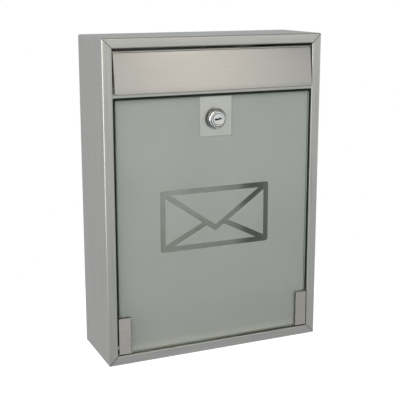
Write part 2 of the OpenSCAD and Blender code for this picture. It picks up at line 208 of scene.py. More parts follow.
def worn_steel(tree, grain, wear, colours, roughness, bump, settings=(), sweep=None):
    """Metal whose colour and roughness follow its grain, brighter and smoother where it is worn. Its tone
    drifts with the sweep of the belt, or in soft patches where there is none."""
    drift = sweep or add(tree, "TexNoise", {"Scale": 9.0, "Detail": 3.0, "Roughness": 0.6},
                         {"Vector": add(tree, "TexCoord").outputs["Object"]}).outputs["Fac"]
    mottle = add(tree, "MapRange", {"From Min": 0.3, "From Max": 0.7, "To Min": -0.35, "To Max": 0.35},
                 {"Value": drift}).outputs["Result"]
    level = add(tree, "Math", {"operation": "ADD", "use_clamp": True}, {0: grain, 1: mottle}).outputs[0]
    tone = add(tree, "Mix", {"data_type": "RGBA", 6: linear(colours[0]), 7: linear(colours[1])},
               {0: level}).outputs[2]
    tone = add(tree, "Mix", {"data_type": "RGBA", 7: linear(colours[2])}, {0: wear, 6: tone}).outputs[2]
    rough = add(tree, "MapRange", {"To Min": roughness[0], "To Max": roughness[1]},
                {"Value": level}).outputs["Result"]
    rough = add(tree, "Mix", {"data_type": "FLOAT", 3: roughness[2]}, {0: wear, 2: rough}).outputs[0]
    relief = add(tree, "Bump", {"Strength": bump[0], "Distance": bump[1] * MM}, {"Height": grain})
    metal = add(tree, "BsdfPrincipled", {"Metallic": 1.0, **dict(settings)},
                {"Base Color": tone, "Roughness": rough, "Normal": relief.outputs["Normal"]})
    add(tree, "OutputMaterial", links={"Surface": metal.outputs[0]})
    return metal


def shaded(tree, metal, shade):
    """Multiplies the colour of a metal by a shade."""
    tone = metal.inputs["Base Color"].links[0].from_socket
    dark = add(tree, "VectorMath", {"operation": "SCALE"}, {0: tone, "Scale": shade}).outputs[0]
    tree.links.new(dark, metal.inputs["Base Color"])


def brushing(tree, place, along, pitch_mm, length_mm):
    """Brush lines: noise with one cell per pitch across the lines, drawn out to length along them."""
    stretch = [1.0, 1.0, 1.0]
    stretch[along] = pitch_mm / length_mm
    run = add(tree, "Mapping", {"Scale": stretch}, {"Vector": place}).outputs[0]
    return add(tree, "TexNoise", {"Scale": 1 / (pitch_mm * MM), "Detail": 4.0, "Roughness": 0.65},
               {"Vector": run}).outputs["Fac"]


def fold_wear(tree, place, node, reach_mm):
    """How near a point is to an outer edge of a node's box, 1 on the edge and 0 at reach: the middle one
    of its three distances to the box's faces, broken up by noise."""
    low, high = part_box(node)
    middle = [(a + b) / 2 for a, b in zip(low, high)]
    half = [(b - a) / 2 for a, b in zip(low, high)]
    off = add(tree, "VectorMath", {"operation": "SUBTRACT", 1: middle}, {0: place}).outputs[0]
    off = add(tree, "VectorMath", {"operation": "ABSOLUTE"}, {0: off}).outputs[0]
    gap = add(tree, "VectorMath", {"operation": "SUBTRACT", 0: half}, {1: off}).outputs[0]
    x, y, z = add(tree, "SeparateXYZ", links={0: gap}).outputs
    least = add(tree, "Math", {"operation": "MINIMUM"}, {0: x, 1: y}).outputs[0]
    most = add(tree, "Math", {"operation": "MAXIMUM"}, {0: x, 1: y}).outputs[0]
    rest = add(tree, "Math", {"operation": "MINIMUM"}, {0: most, 1: z}).outputs[0]
    second = add(tree, "Math", {"operation": "MAXIMUM"}, {0: least, 1: rest}).outputs[0]
    near = add(tree, "MapRange", {"From Min": reach_mm * MM, "From Max": 0.0}, {"Value": second}).outputs[0]
    breaks = add(tree, "TexNoise", {"Scale": 160.0, "Detail": 3.0}, {"Vector": place}).outputs["Fac"]
    return add(tree, "Math", {"operation": "MULTIPLY", "use_clamp": True}, {0: near, 1: breaks}).outputs[0]


def brushed_case_stainless():
    """Stainless sheet, belt brushed before it was folded: satin grey with fine lines that run up the
    sides and across the top, so they change direction at each mitre, along which a thin line is drawn
    darker on the front faces. The folds are rubbed brighter.
    The belt's 0.06 mm scratches are drawn 0.35 mm wide, so that they show."""
    made, tree, place = finish("brushed_case_stainless")
    low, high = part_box("body_shell")
    off = add(tree, "VectorMath", {"operation": "ABSOLUTE"}, {0: place}).outputs[0]
    x, y, z = add(tree, "SeparateXYZ", links={0: off}).outputs
    to_side = add(tree, "Math", {"operation": "SUBTRACT", 0: high[0]}, {1: x}).outputs[0]
    to_top = add(tree, "Math", {"operation": "SUBTRACT", 0: high[2]}, {1: z}).outputs[0]
    across = add(tree, "Math", {"operation": "LESS_THAN"}, {0: to_top, 1: to_side}).outputs[0]
    grain, sweep = (add(tree, "Mix", {"data_type": "FLOAT"}, {0: across, 2: brushing(tree, place, 2, *run),
                                                              3: brushing(tree, place, 0, *run)}).outputs[0]
                    for run in ((0.35, 28), (3.2, 150)))
    # a thin line along each mitre, on the front faces only, is drawn darker
    seam = add(tree, "Math", {"operation": "SUBTRACT"}, {0: to_side, 1: to_top}).outputs[0]
    seam = add(tree, "Math", {"operation": "ABSOLUTE"}, {0: seam}).outputs[0]
    behind = add(tree, "Math", {"operation": "SUBTRACT", 0: -low[1] - MM}, {1: y}).outputs[0]
    seam = add(tree, "Math", {"operation": "MAXIMUM"}, {0: seam, 1: behind}).outputs[0]
    seam = add(tree, "MapRange", {"interpolation_type": "SMOOTHSTEP", "From Min": 0.4 * MM,
                                  "From Max": 1.2 * MM, "To Min": 0.5}, {"Value": seam}).outputs[0]
    wear = fold_wear(tree, place, "body_shell", 2.6)
    metal = worn_steel(tree, grain, wear, ("#ACACA9", "#C4C4C0", "#CFCECA"), (0.34, 0.42, 0.30), (0.16, 0.02),
                       {"Anisotropic": 0.35}, sweep)
    shaded(tree, metal, seam)
    return made


def mill_finish_plate():
    """Stainless plate left as rolled: smoother and more even than the brushed case, so it mirrors softly,
    with long faint rolling lines up and down, and a row of 5 mm spot welds round its edge."""
    made, tree, place = finish("mill_finish_plate")
    half_pitch_mm, inset_mm, weld_r_mm, slope_mm = 22.5, 6, 1.6, 1.2
    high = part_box("back_panel")[1]
    off = add(tree, "VectorMath", {"operation": "ABSOLUTE"}, {0: place}).outputs[0]
    x, _, z = add(tree, "SeparateXYZ", links={0: off}).outputs
    rows = []
    for along, across, edge in ((z, x, high[0]), (x, z, high[2])):
        step = add(tree, "Math", {"operation": "PINGPONG", 1: half_pitch_mm * MM}, {0: along}).outputs[0]
        row = add(tree, "Math", {"operation": "SUBTRACT", 1: edge - inset_mm * MM}, {0: across}).outputs[0]
        flat = add(tree, "CombineXYZ", links={0: step, 1: row}).outputs[0]
        rows.append(add(tree, "VectorMath", {"operation": "LENGTH"}, {0: flat}).outputs["Value"])
    from_weld = add(tree, "Math", {"operation": "MINIMUM"}, {0: rows[0], 1: rows[1]}).outputs[0]
    dent = add(tree, "MapRange", {"interpolation_type": "SMOOTHSTEP", "From Min": weld_r_mm * MM,
                                  "From Max": (weld_r_mm + slope_mm) * MM, "To Min": -6.0, "To Max": 0.0},
               {"Value": from_weld}).outputs[0]
    lines = brushing(tree, place, 2, 0.9, 160)
    grain = add(tree, "Math", {"operation": "ADD"}, {0: lines, 1: dent}).outputs[0]
    wear = fold_wear(tree, place, "back_panel", 2.5)
    worn_steel(tree, grain, wear, ("#BDBDB8", "#CBCBC6", "#D6D6D1"), (0.18, 0.26, 0.16), (0.06, 0.02))
    return made


def brushed_bar_stainless():
    """Stainless strip brushed lengthways and folded: lines that run across the box."""
    made, tree, place = finish("brushed_bar_stainless")
    grain = brushing(tree, place, 0, 0.35, 30)
    wear = fold_wear(tree, place, "crossbar", 1.2)
    worn_steel(tree, grain, wear, ("#B0B2AD", "#BFC0BB", "#D2D2CD"), (0.34, 0.42, 0.26), (0.14, 0.02))
    return made


def brushed_flap_stainless():
    """Thin stainless sheet brushed from side to side: fine level lines, so a lamp shows on it as an
    upright soft glow. Painted shade darkens its lower 7 mm a little, and a painted shadow darkens it
    most at the bend along its bottom edge."""
    made, tree, place = finish("brushed_flap_stainless")
    hem_z, hem_shade_mm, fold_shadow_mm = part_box("mail_flap")[0][2], 7.0, 1.2
    grain = brushing(tree, place, 0, 0.3, 34)
    sweep = brushing(tree, place, 0, 3.2, 150)
    wear = fold_wear(tree, place, "mail_flap", 2.2)
    wear = add(tree, "Math", {"operation": "MULTIPLY", 1: 0.3}, {0: wear}).outputs[0]
    metal = worn_steel(tree, grain, wear, ("#A0A1A1", "#A5A6A5", "#BAB9B6"), (0.28, 0.30, 0.26), (0.10, 0.02),
                       {"Anisotropic": 0.4}, sweep)
    # painted shade over the lowest 7 mm and a painted shadow at the bend along the bottom edge
    height = add(tree, "SeparateXYZ", links={0: place}).outputs[2]
    painted_hem_shade, painted_fold_shadow = (add(tree, "MapRange", {"interpolation_type": "SMOOTHSTEP", "From Min": hem_z,
                                        "From Max": hem_z + reach * MM, "To Min": least},
                     {"Value": height}).outputs[0]
                 for reach, least in ((hem_shade_mm, 0.86), (fold_shadow_mm, 0.45)))
    shade = add(tree, "Math", {"operation": "MULTIPLY"}, {0: painted_hem_shade, 1: painted_fold_shadow}).outputs[0]
    shaded(tree, metal, shade)
    return made


def satin_clip_stainless():
    """Pressed stainless clip, tumbled after pressing: fine even satin with no direction and soft edges."""
    made, tree, place = finish("satin_clip_stainless")
    grain = add(tree, "TexNoise", {"Scale": 1 / (0.5 * MM), "Detail": 3.0}, {"Vector": place}).outputs["Fac"]
    wear = fold_wear(tree, place, "hinge_clip_right", 1.0)
    worn_steel(tree, grain, wear, ("#AEAAA4", "#BCB7B1", "#CECAC4"), (0.34, 0.42, 0.28), (0.12, 0.02))
    return made


def bright_lock_plate():
    """Stainless plate with a bright annealed finish: smooth and light, with faint level lines."""
    made, tree, place = finish("bright_lock_plate")
    grain = brushing(tree, place, 0, 0.4, 24)
    wear = fold_wear(tree, place, "lock_plate", 0.8)
    worn_steel(tree, grain, wear, ("#C2C2BF", "#CCCCC9", "#D8D8D4"), (0.30, 0.38, 0.25), (0.08, 0.02))
    return made


def zinc_plated_steel():
    """Turned and pressed steel with bright zinc plating: slightly blue, with turning marks."""
    made, tree, place = finish("zinc_plated_steel")
    grain = brushing(tree, place, 1, 0.25, 2.5)
    rub = add(tree, "TexNoise", {"Scale": 300.0, "Detail": 2.0}, {"Vector": place}).outputs["Fac"]
    wear = add(tree, "MapRange", {"From Min": 0.52, "From Max": 0.7}, {"Value": rub}).outputs[0]
    worn_steel(tree, grain, wear, ("#A7ABAE", "#BBBFC1", "#C9C8C2"), (0.26, 0.36, 0.40), (0.12, 0.02))
    return made


def polished_chrome(centre):
    """Zinc casting, polished and chrome plated: almost a mirror, with a haze of fine wipe marks. Painted
    shade darkens the bezel's two grooves and its rim, as rings about the lock's axis."""
    made, tree, place = finish("polished_chrome")
    grain = add(tree, "TexNoise", {"Scale": 1 / (0.6 * MM), "Detail": 5.0}, {"Vector": place}).outputs["Fac"]
    haze = add(tree, "TexNoise", {"Scale": 420.0, "Detail": 4.0}, {"Vector": place}).outputs["Fac"]
    wear = add(tree, "MapRange", {"From Min": 0.62, "From Max": 0.8}, {"Value": haze}).outputs[0]
    metal = worn_steel(tree, grain, wear, ("#E0E0DD", "#E8E8E5", "#D2D2CE"), (0.06, 0.11, 0.18), (0.03, 0.01))
    low, high = box_mm("lock_housing")
    seat_mm, face_mm, groove_mm, rim_mm = low[1] + BEZEL_H, 9.0, 11.3, high[0]
    middle = (centre[0] * MM, 0, centre[1] * MM)
    flat = add(tree, "VectorMath", {"operation": "MULTIPLY", 1: (1, 0, 1)}, {0: place}).outputs[0]
    out = add(tree, "VectorMath", {"operation": "DISTANCE", 1: middle}, {0: flat}).outputs["Value"]
    depth = add(tree, "SeparateXYZ", links={0: place}).outputs[1]
    behind = add(tree, "Math", {"operation": "GREATER_THAN", 1: seat_mm * MM}, {0: depth}).outputs[0]
    # painted shade: dark rings at the face's edge, in the groove and round the rim, on the bezel's front only
    for ring_mm, half_mm in ((face_mm, 0.45), (groove_mm, 0.4), (rim_mm, 0.4)):
        gap = add(tree, "Math", {"operation": "SUBTRACT", 1: ring_mm * MM}, {0: out}).outputs[0]
        gap = add(tree, "Math", {"operation": "ABSOLUTE"}, {0: gap}).outputs[0]
        ring = add(tree, "MapRange", {"interpolation_type": "SMOOTHSTEP", "From Min": 0.3 * half_mm * MM,
                                      "From Max": 1.6 * half_mm * MM, "To Min": 0.16},
                   {"Value": gap}).outputs[0]
        shade = add(tree, "Math", {"operation": "MAXIMUM"}, {0: ring, 1: behind}).outputs[0]
        shaded(tree, metal, shade)
    return made


def plated_plug():
    """The plug: chrome on its face, but the plating doesn't reach into the keyway, whose walls from half a
    millimetre down are dark oiled metal, drawn near black with the keyway's painted shadow."""
    made, tree, place = finish("plated_plug")
    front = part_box("lock_plug")[0][1]
    grain = add(tree, "TexNoise", {"Scale": 1 / (0.6 * MM), "Detail": 5.0}, {"Vector": place}).outputs["Fac"]
    depth = add(tree, "SeparateXYZ", links={0: place}).outputs[1]
    # dark oiled metal plus painted shadow in the keyway, from half a millimetre behind the face
    oiled_and_shadowed = add(tree, "MapRange", {"interpolation_type": "SMOOTHSTEP", "From Min": front + 0.15 * MM,
                                    "From Max": front + 0.6 * MM}, {"Value": depth}).outputs[0]
    worn_steel(tree, grain, oiled_and_shadowed, ("#E2E2DE", "#E8E8E4", "#1C1B19"), (0.06, 0.11, 0.6), (0.03, 0.01))
    return made


def stamped_brass():
    """Stamped brass wafers, satin from the die: their yellow is drawn a dark brown, darker in noise patches.
    """
    made, tree, place = finish("stamped_brass")
    grain = add(tree, "TexNoise", {"Scale": 1 / (0.4 * MM), "Detail": 3.0}, {"Vector": place}).outputs["Fac"]
    dark_patches = add(tree, "TexNoise", {"Scale": 260.0}, {"Vector": place}).outputs["Fac"]
    wear = add(tree, "MapRange", {"From Min": 0.55, "From Max": 0.75}, {"Value": dark_patches}).outputs[0]
    worn_steel(tree, grain, wear, ("#4A3E26", "#5C4D2F", "#2E2718"), (0.34, 0.44, 0.55), (0.1, 0.02))
    return made


def float_glass():
    """Clear float glass: a mirror-smooth face that reflects a little, with the slight green of the iron
    in it, which deepens where one looks through more of it at the seamed edges."""
    made, tree, _ = finish("float_glass")
    clear = add(tree, "BsdfGlass", {"Color": linear("#FDFEFD"), "Roughness": 0.0, "IOR": 1.52})
    lit = add(tree, "BsdfTransparent", {"Color": linear("#FDFEFD")})
    lamp_ray = add(tree, "LightPath").outputs["Is Shadow Ray"]
    pane = add(tree, "MixShader", links={0: lamp_ray, 1: clear.outputs[0], 2: lit.outputs[0]})
    add(tree, "OutputMaterial", links={"Surface": pane.outputs[0]})
    return made


def ground_glass_edge():
    """The pane's edges, ground by a fine belt: satin, so they pass light blurred and take the dark of
    what is beside them, with a little greenish white of their own."""
    made, tree, place = finish("ground_glass_edge")
    grit = add(tree, "TexNoise", {"Scale": 1 / (0.4 * MM), "Detail": 3.0}, {"Vector": place}).outputs["Fac"]
    tone = add(tree, "Mix", {"data_type": "RGBA", 6: linear("#B9C8BE"), 7: linear("#D3DDD5")},
               {0: grit}).outputs[2]
    relief = add(tree, "Bump", {"Strength": 0.3, "Distance": 0.05 * MM}, {"Height": grit}).outputs[0]
    blur = add(tree, "BsdfGlass", {"Color": linear("#DDEBE2"), "Roughness": 0.45, "IOR": 1.52},
               {"Normal": relief})
    chalk = add(tree, "BsdfDiffuse", links={"Color": tone, "Normal": relief})
    edge = add(tree, "MixShader", {0: 0.15}, {1: blur.outputs[0], 2: chalk.outputs[0]})
    add(tree, "OutputMaterial", links={"Surface": edge.outputs[0]})
    return made


def etched_print():
    """Etch-effect ink, screen printed on the rear of the glass: a greenish grey-white that lets light
    through without showing what is behind it, with the faint mottle of a mesh-printed film. Along the
    lower edge it is painted lighter: painted light, standing for light let in through the pane's ground
    bottom edge.
    Its 0.15 mm grains are drawn 0.5 mm wide, so that they show."""
    made, tree, place = finish("etched_print")
    speck = add(tree, "TexNoise", {"Scale": 1 / (0.5 * MM), "Detail": 4.0, "Roughness": 0.7},
                {"Vector": place}).outputs["Fac"]
    cloud = add(tree, "TexNoise", {"Scale": 12.0, "Detail": 3.0}, {"Vector": place}).outputs["Fac"]
    level = add(tree, "Mix", {"data_type": "FLOAT", 0: 0.5}, {2: speck, 3: cloud}).outputs[0]
    level = add(tree, "MapRange", {"From Min": 0.35, "From Max": 0.65}, {"Value": level}).outputs[0]
    tone = add(tree, "Mix", {"data_type": "RGBA", 6: linear("#E0E5E5"), 7: linear("#EAEEEF")},
               {0: level}).outputs[2]
    low_z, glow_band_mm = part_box("frosted_print")[0][2], 11.0
    height = add(tree, "SeparateXYZ", links={0: place}).outputs[2]
    # painted light: lighter colour over the lowest 11 mm, for light let in through the ground bottom edge
    thick = add(tree, "MapRange", {"interpolation_type": "SMOOTHSTEP", "From Min": low_z + glow_band_mm * MM,
                                   "From Max": low_z + 0.3 * glow_band_mm * MM}, {"Value": height}).outputs[0]
    tone = add(tree, "Mix", {"data_type": "RGBA", 7: linear("#F2F4F2")}, {0: thick, 6: tone}).outputs[2]
    relief = add(tree, "Bump", {"Strength": 0.2, "Distance": 0.02 * MM}, {"Height": speck}).outputs[0]
    face = add(tree, "BsdfPrincipled", {"Roughness": 0.75, "IOR": 1.5},
               {"Base Color": tone, "Normal": relief})
    through = add(tree, "BsdfTranslucent", links={"Color": tone, "Normal": relief})
    film = add(tree, "MixShader", {0: 0.72}, {1: face.outputs[0], 2: through.outputs[0]})
    add(tree, "OutputMaterial", links={"Surface": film.outputs[0]})
    return made


def moulded_rubber():
    """Moulded black rubber: soft dark grey-black with a fine matt skin and pale dust in its hollows."""
    made, tree, place = finish("moulded_rubber")
    skin = add(tree, "TexNoise", {"Scale": 1 / (0.3 * MM), "Detail": 3.0}, {"Vector": place}).outputs["Fac"]
    dust = add(tree, "TexNoise", {"Scale": 90.0, "Detail": 4.0}, {"Vector": place}).outputs["Fac"]
    dust = add(tree, "MapRange", {"From Min": 0.5, "From Max": 0.8, "To Max": 0.5},
               {"Value": dust}).outputs[0]
    tone = add(tree, "Mix", {"data_type": "RGBA", 6: linear("#191A18"), 7: linear("#3A3B38")},
               {0: dust}).outputs[2]
    rough = add(tree, "MapRange", {"To Min": 0.6, "To Max": 0.8}, {"Value": skin}).outputs[0]
    relief = add(tree, "Bump", {"Strength": 0.3, "Distance": 0.03 * MM}, {"Height": skin}).outputs[0]
    rubber = add(tree, "BsdfPrincipled", {"IOR": 1.52},
                 {"Base Color": tone, "Roughness": rough, "Normal": relief})
    add(tree, "OutputMaterial", links={"Surface": rubber.outputs[0]})
    return made


def turned_nylon():
    """Turned white nylon: creamy, slightly waxy, with the lathe's rings and a rub of grey at the bore."""
    made, tree, place = finish("turned_nylon")
    rings = brushing(tree, place, 1, 0.3, 3)
    smear = add(tree, "TexNoise", {"Scale": 240.0, "Detail": 3.0}, {"Vector": place}).outputs["Fac"]
    tone = add(tree, "Mix", {"data_type": "RGBA", 6: linear("#D9D8CE"), 7: linear("#ECEBE3")},
               {0: smear}).outputs[2]
    relief = add(tree, "Bump", {"Strength": 0.2, "Distance": 0.03 * MM}, {"Height": rings}).outputs[0]
    nylon = add(tree, "BsdfPrincipled",
                {"Roughness": 0.42, "IOR": 1.53, "Subsurface Weight": 0.1, "Subsurface Scale": 0.001},
                {"Base Color": tone, "Normal": relief})
    add(tree, "OutputMaterial", links={"Surface": nylon.outputs[0]})
    return made


# Pieces -------------------------------------------------------------------------------------------

def glass_door(face_finish, edge_finish, centre):
    """The door's pane: round a closed outline (rectangle with 2 mm corners) each point faces a point of
    the lock's hole at the same angle from its centre, and the section between them is carried round:
    front face, seamed edges of 0.5 mm, rear face and the hole's wall."""
    low, high = box_mm("glass_panel")
    seam, corner_r, print_gap = 0.5, 2.0, 0.03
    front, rear = low[1], high[1] - print_gap
    low, high = low[[0, 2]], high[[0, 2]]
    outer = rounded_outline(low, high, corner_r)
    out_way = outer - (low + high) / 2
    near_side = (high - low) / 2 - np.abs(out_way) < corner_r + 1e-6
    face = outer - np.sign(out_way) * seam * near_side
    middle = np.array(centre)
    ray = outer - middle
    ray /= np.linalg.norm(ray, axis=1, keepdims=True)
    hole, hole_seam = middle + ray * LOCK_HOLE_R, middle + ray * (LOCK_HOLE_R + seam)
    rows = [(face, front), (hole_seam, front), (hole, front + seam), (hole, rear - seam),
            (hole_seam, rear), (face, rear), (outer, rear - seam), (outer, front + seam)]
    grid = np.stack([np.insert(flat, 1, y, axis=1) for flat, y in rows], 1)
    mesh = surface("glass_door", grid, sharp_deg=20)
    pane = piece("glass_door", mesh, "door", "door_glass", face_finish, "glass_panel")
    mesh.materials.append(edge_finish)
    normals = np.empty(3 * len(mesh.polygons), np.float32)
    mesh.polygons.foreach_get("normal", normals)
    is_edge = np.abs(normals.reshape(-1, 3)[:, 1]) < 0.9
    mesh.polygons.foreach_set("material_index", is_edge.astype(np.int32))
    mesh.update()
    return pane


def lock_body(finish_of, centre):
    """The lock's bezel and barrel, turned from one closed section: countersunk bore, flat face, a shoulder
    that falls as a quarter ellipse, a groove, a raised rim, washer face and barrel. Behind the washer face
    the barrel's radius rises and falls once a millimetre as a thread, and two flats hold it back."""
    low, high = box_mm("lock_housing")
    front, rear = low[1], high[1]
    bezel_r, seat = high[0], front + BEZEL_H
    bore, barrel, flat = 6.5, 9.0, 8.2
    rim_w, rim_h, rim_round, dome_h = 1.5, 1.5, 0.6, 2.5
    face_r, rim_r = 8.6, bezel_r - rim_w
    pitch, depth = 1.0, 0.42
    turn = np.radians(np.linspace(90, 0, 14))
    dome = np.stack([face_r + (rim_r - face_r) * np.cos(turn), seat - rim_h - dome_h * np.sin(turn)], 1)
    rim = arc((bezel_r - rim_round, seat - rim_h / 2), rim_round, -150, 0, 8)
    thread_y = np.arange(seat + 0.6, rear - 0.5, pitch / 8)
    parts = [[(bore, front + 0.9), (bore + 0.55, front + 0.1), (bore + 0.7, front)],
             dome, [(rim_r + 0.05, seat - 0.55)], rim, [(bezel_r, seat), (barrel, seat)],
             np.stack([np.full(len(thread_y), barrel), thread_y], 1),
             [(barrel - 0.5, rear), (bore + 0.25, rear), (bore, rear - 0.25)]]
    profile = np.concatenate([np.array(p, float) for p in parts])

    def threaded(a, r, y):
        wave = depth * (0.5 + 0.5 * np.cos(TURN * y / pitch - a))
        on_thread = (y > seat + 0.5) & (y < rear - 0.3) & (r > barrel - 0.01)
        r = np.where(on_thread, r - wave, r)
        held = flat / np.maximum(np.abs(np.sin(a)), 1e-6)
        return np.where((y > seat + 0.1) & (r > bore + 0.5), np.minimum(r, held), r)

    grid = turned(profile, centre, "Y", 144, threaded)
    return piece("lock_body", surface("lock_body", grid, sharp_deg=30), "door", "lock_chrome", finish_of,
                 "lock_housing")


def hexagon_nut(finish_of, centre):
    """Nut: at angle a its side lies at apothem / cos(a mod 60 deg - 30 deg), and a 30 degree cone takes
    its corners off at both faces. Its bore is countersunk."""
    low, high = box_mm("lock_nut")
    front, rear = low[1], high[1]
    corner_r = max(high[0] - centre[0], high[2] - centre[1])
    apothem, bore, sink, cut = corner_r * math.cos(math.pi / 6), 9.05, 0.5, 0.7
    face_r = apothem - 0.2
    corners = np.array([(bore + sink, front), (face_r, front), (corner_r, front + cut),
                        (corner_r, rear - cut), (face_r, rear), (bore + sink, rear),
                        (bore, rear - sink), (bore, front + sink)])
    profile = np.concatenate([np.linspace(start, end, 6, endpoint=False)
                              for start, end in zip(corners, np.roll(corners, -1, axis=0))])

    def hexagon(a, r, _):
        turn = np.mod(a, TURN / 6) - TURN / 12
        return np.minimum(r, apothem / np.cos(turn))

    grid = turned(profile, centre, "Y", 144, hexagon)
    return piece("lock_hexagon_nut", surface("lock_hexagon_nut", grid, sharp_deg=25), "door", "zinc_steel",
                 finish_of, "lock_nut")


def bezel_washer(finish_of, centre):
    """Washer under the bezel: a flat ring whose rim is a half round."""
    low, high = box_mm("lock_gasket")
    outer, inner, t = high[0], 9.3, high[1] - low[1]
    mid = (low[1] + high[1]) / 2
    profile = np.concatenate([arc((outer - t / 2, mid), t / 2, -90, 90, 9),
                              arc((inner + t / 2, mid), t / 2, 90, 270, 9)])
    return piece("bezel_washer", surface("bezel_washer", turned(profile, centre)), "door",
                 "black_rubber", finish_of, "lock_gasket")


def pad(name, low, high, r, around=24, across=9):
    """Moulded pad: each section along X is a rounded rectangle, and near the ends it draws in as a
    quarter circle of radius r to a flat end."""
    low, high = np.array(low, float), np.array(high, float)
    a = np.radians(np.linspace(0, 90, across))
    narrowing, inset = r - r * np.sin(a), r - r * np.cos(a)
    draw = np.concatenate([[r], narrowing, narrowing[::-1], [r]])
    ends = np.concatenate([[low[0]], low[0] + inset, (high[0] - inset)[::-1], [high[0]]])
    mid, half = (low + high)[1:] / 2, (high - low)[1:] / 2
    outline = np.concatenate([arc((sy * (half[0] - r), sz * (half[1] - r)), r, start, start + 90, around // 4)
                              for sy, sz, start in ((1, 1, 0), (-1, 1, 90), (-1, -1, 180), (1, -1, 270))])
    shrink = 1 - draw[:, None, None] / half * 0.98
    rows = mid + outline[None] * shrink
    rows[[0, -1]] = mid
    grid = np.concatenate([np.broadcast_to(ends[:, None, None], (*rows.shape[:2], 1)), rows], 2)
    return surface(name, grid, wrap_u=False, wrap_v=True, sharp_deg=50)


def flap_pads(finish_of):
    """Two rubber pads on the crossbar that the flap closes on."""
    low, high = box_mm("flap_bumpers")
    length = 14.0
    sides = [pad("pad", low, (low[0] + length, high[1], high[2]), 0.7),
             pad("pad", (high[0] - length, low[1], low[2]), high, 0.7)]
    return piece("flap_pads", joined("flap_pads", sides, 50), "case", "black_rubber", finish_of,
                 "flap_bumpers")


def door_seal_strip(finish_of):
    """Rubber seal along the lip: one rounded section, with three fine grooves along its face and so two
    ribs between them, carried along X. Its ends draw in over their last half millimetre."""
    low, high = box_mm("door_seal")
    groove_depth, groove_count = 0.22, 3
    z = np.linspace(0, 1, 33)
    grooves = groove_depth * np.sin(math.pi * groove_count * z) ** 2
    bulge = np.sqrt(np.clip(1 - (2 * z - 1) ** 8, 0, 1))
    front = high[1] - (high[1] - low[1] - grooves) * bulge
    section = np.concatenate([np.stack([front, low[2] + (high[2] - low[2]) * z], 1),
                              [(high[1], high[2]), (high[1], low[2])]])
    rows, along = closed_run(section, section.mean(0), low[0], high[0], (0.85, 0.97))
    grid = np.concatenate([along, rows], 2)
    return piece("door_seal_strip", surface("door_seal_strip", grid, False, True, 40), "case", "black_rubber",
                 finish_of, "door_seal")


def side_seal_strips(finish_of):
    """Two rubber seals beside the door: an L section, its wall rounded at the front by a half circle and
    its foot at the inner end by a quarter, carried up Z. Each end draws in over half a millimetre."""
    low, high = box_mm("door_side_seals")
    width, wall, foot, crook_r, toe_r = 5.5, 0.8, 1.6, 0.4, 0.6
    inner, outer, front, back = high[0] - width, high[0], low[1], high[1]
    section = np.concatenate([
        arc((outer - wall / 2, front + wall / 2), wall / 2, 0, -180, 9),
        arc((outer - wall - crook_r, back - foot - crook_r), crook_r, 0, 90, 5),
        arc((inner + toe_r, back - foot + toe_r), toe_r, -90, -180, 6),
        [(inner, back), (outer, back)]])
    middle = np.array([outer - wall / 2, back - foot / 2])
    rows, along = closed_run(section, middle, low[2], high[2], (0.8, 0.95))
    strips = [surface("seal", np.concatenate([rows * (side, 1), along], 2), False, True, 40)
              for side in (-1, 1)]
    return piece("side_seal_strips", joined("side_seal_strips", strips, 40), "case", "black_rubber",
                 finish_of, "door_side_seals")


def bar_rivets(finish_of):
    """Four rivets: a shank between two heads, each head a quarter of an ellipse turned about the shank."""
    low, high = box_mm("crossbar_rivets")
    head_r, shank_r, head_t, length = (high[2] - low[2]) / 2, 1.2, 0.6, 3.2
    t = np.radians(np.linspace(0, 90, 8))
    rivets = []
    for side in (-1, 1):
        ends = np.array([high[0] - length, high[0]]) * side
        crown = np.stack([head_r * np.sin(t), ends[0] + side * head_t * (1 - np.cos(t))], 1)
        foot = np.stack([head_r * np.sin(t), ends[1] - side * head_t * (1 - np.cos(t))], 1)[::-1]
        shank = [(shank_r, crown[-1, 1]), (shank_r, foot[0, 1])]
        profile = np.concatenate([crown, shank, foot])
        for y in (low[1] + head_r, high[1] - head_r):
            grid = turned(profile, (y, (low[2] + high[2]) / 2), "X", 32)
            rivets.append(surface("rivet", grid, True, False, 40))
    return piece("bar_rivets", joined("bar_rivets", rivets, 40), "case", "zinc_steel", finish_of,
                 "crossbar_rivets")


def rod_push_nuts(finish_of):
    """Two push-on nuts: a dished ring whose inner rim is cut back at six places, which leaves six teeth."""
    low, high = box_mm("flap_rod_clips")
    outer, dish, tooth_root, bore, thick, edge = (high[2] - low[2]) / 2, 3.2, 2.3, 1.3, 1.0, 0.1
    ring = np.array([(bore, 0.95), (tooth_root, 0.75), (dish, 0.35), (outer - edge, 0.4), (outer, 0.2),
                     (outer - edge, 0), (dish, 0), (tooth_root, 0.4), (bore, 0.6)])
    centre = ((low[1] + high[1]) / 2, (low[2] + high[2]) / 2)

    def toothed(a, r, _):
        return np.where((r < tooth_root) & (np.abs(np.sin(3 * a)) < 0.3), tooth_root, r)

    nuts = []
    for side in (-1, 1):
        profile = (ring + (0, high[0] - thick)) * (1, side)
        nuts.append(surface("nut", turned(profile, centre, "X", 96, toothed), True, True, 30))
    return piece("rod_push_nuts", joined("rod_push_nuts", nuts, 30), "case", "zinc_steel", finish_of,
                 "flap_rod_clips")


# Put together -------------------------------------------------------------------------------------

case_finish = brushed_case_stainless()
plate_finish = mill_finish_plate()
bar_finish = brushed_bar_stainless()
flap_finish = brushed_flap_stainless()
clip_finish = satin_clip_stainless()
lock_plate_finish = bright_lock_plate()
zinc_finish = zinc_plated_steel()
lock_centre = sum(box_mm("lock_plug"))[[0, 2]] / 2
chrome_finish = polished_chrome(lock_centre)
plug_finish = plated_plug()
brass_finish = stamped_brass()
glass_finish = float_glass()
edge_finish = ground_glass_edge()
print_finish = etched_print()
rubber_finish = moulded_rubber()
nylon_finish = turned_nylon()

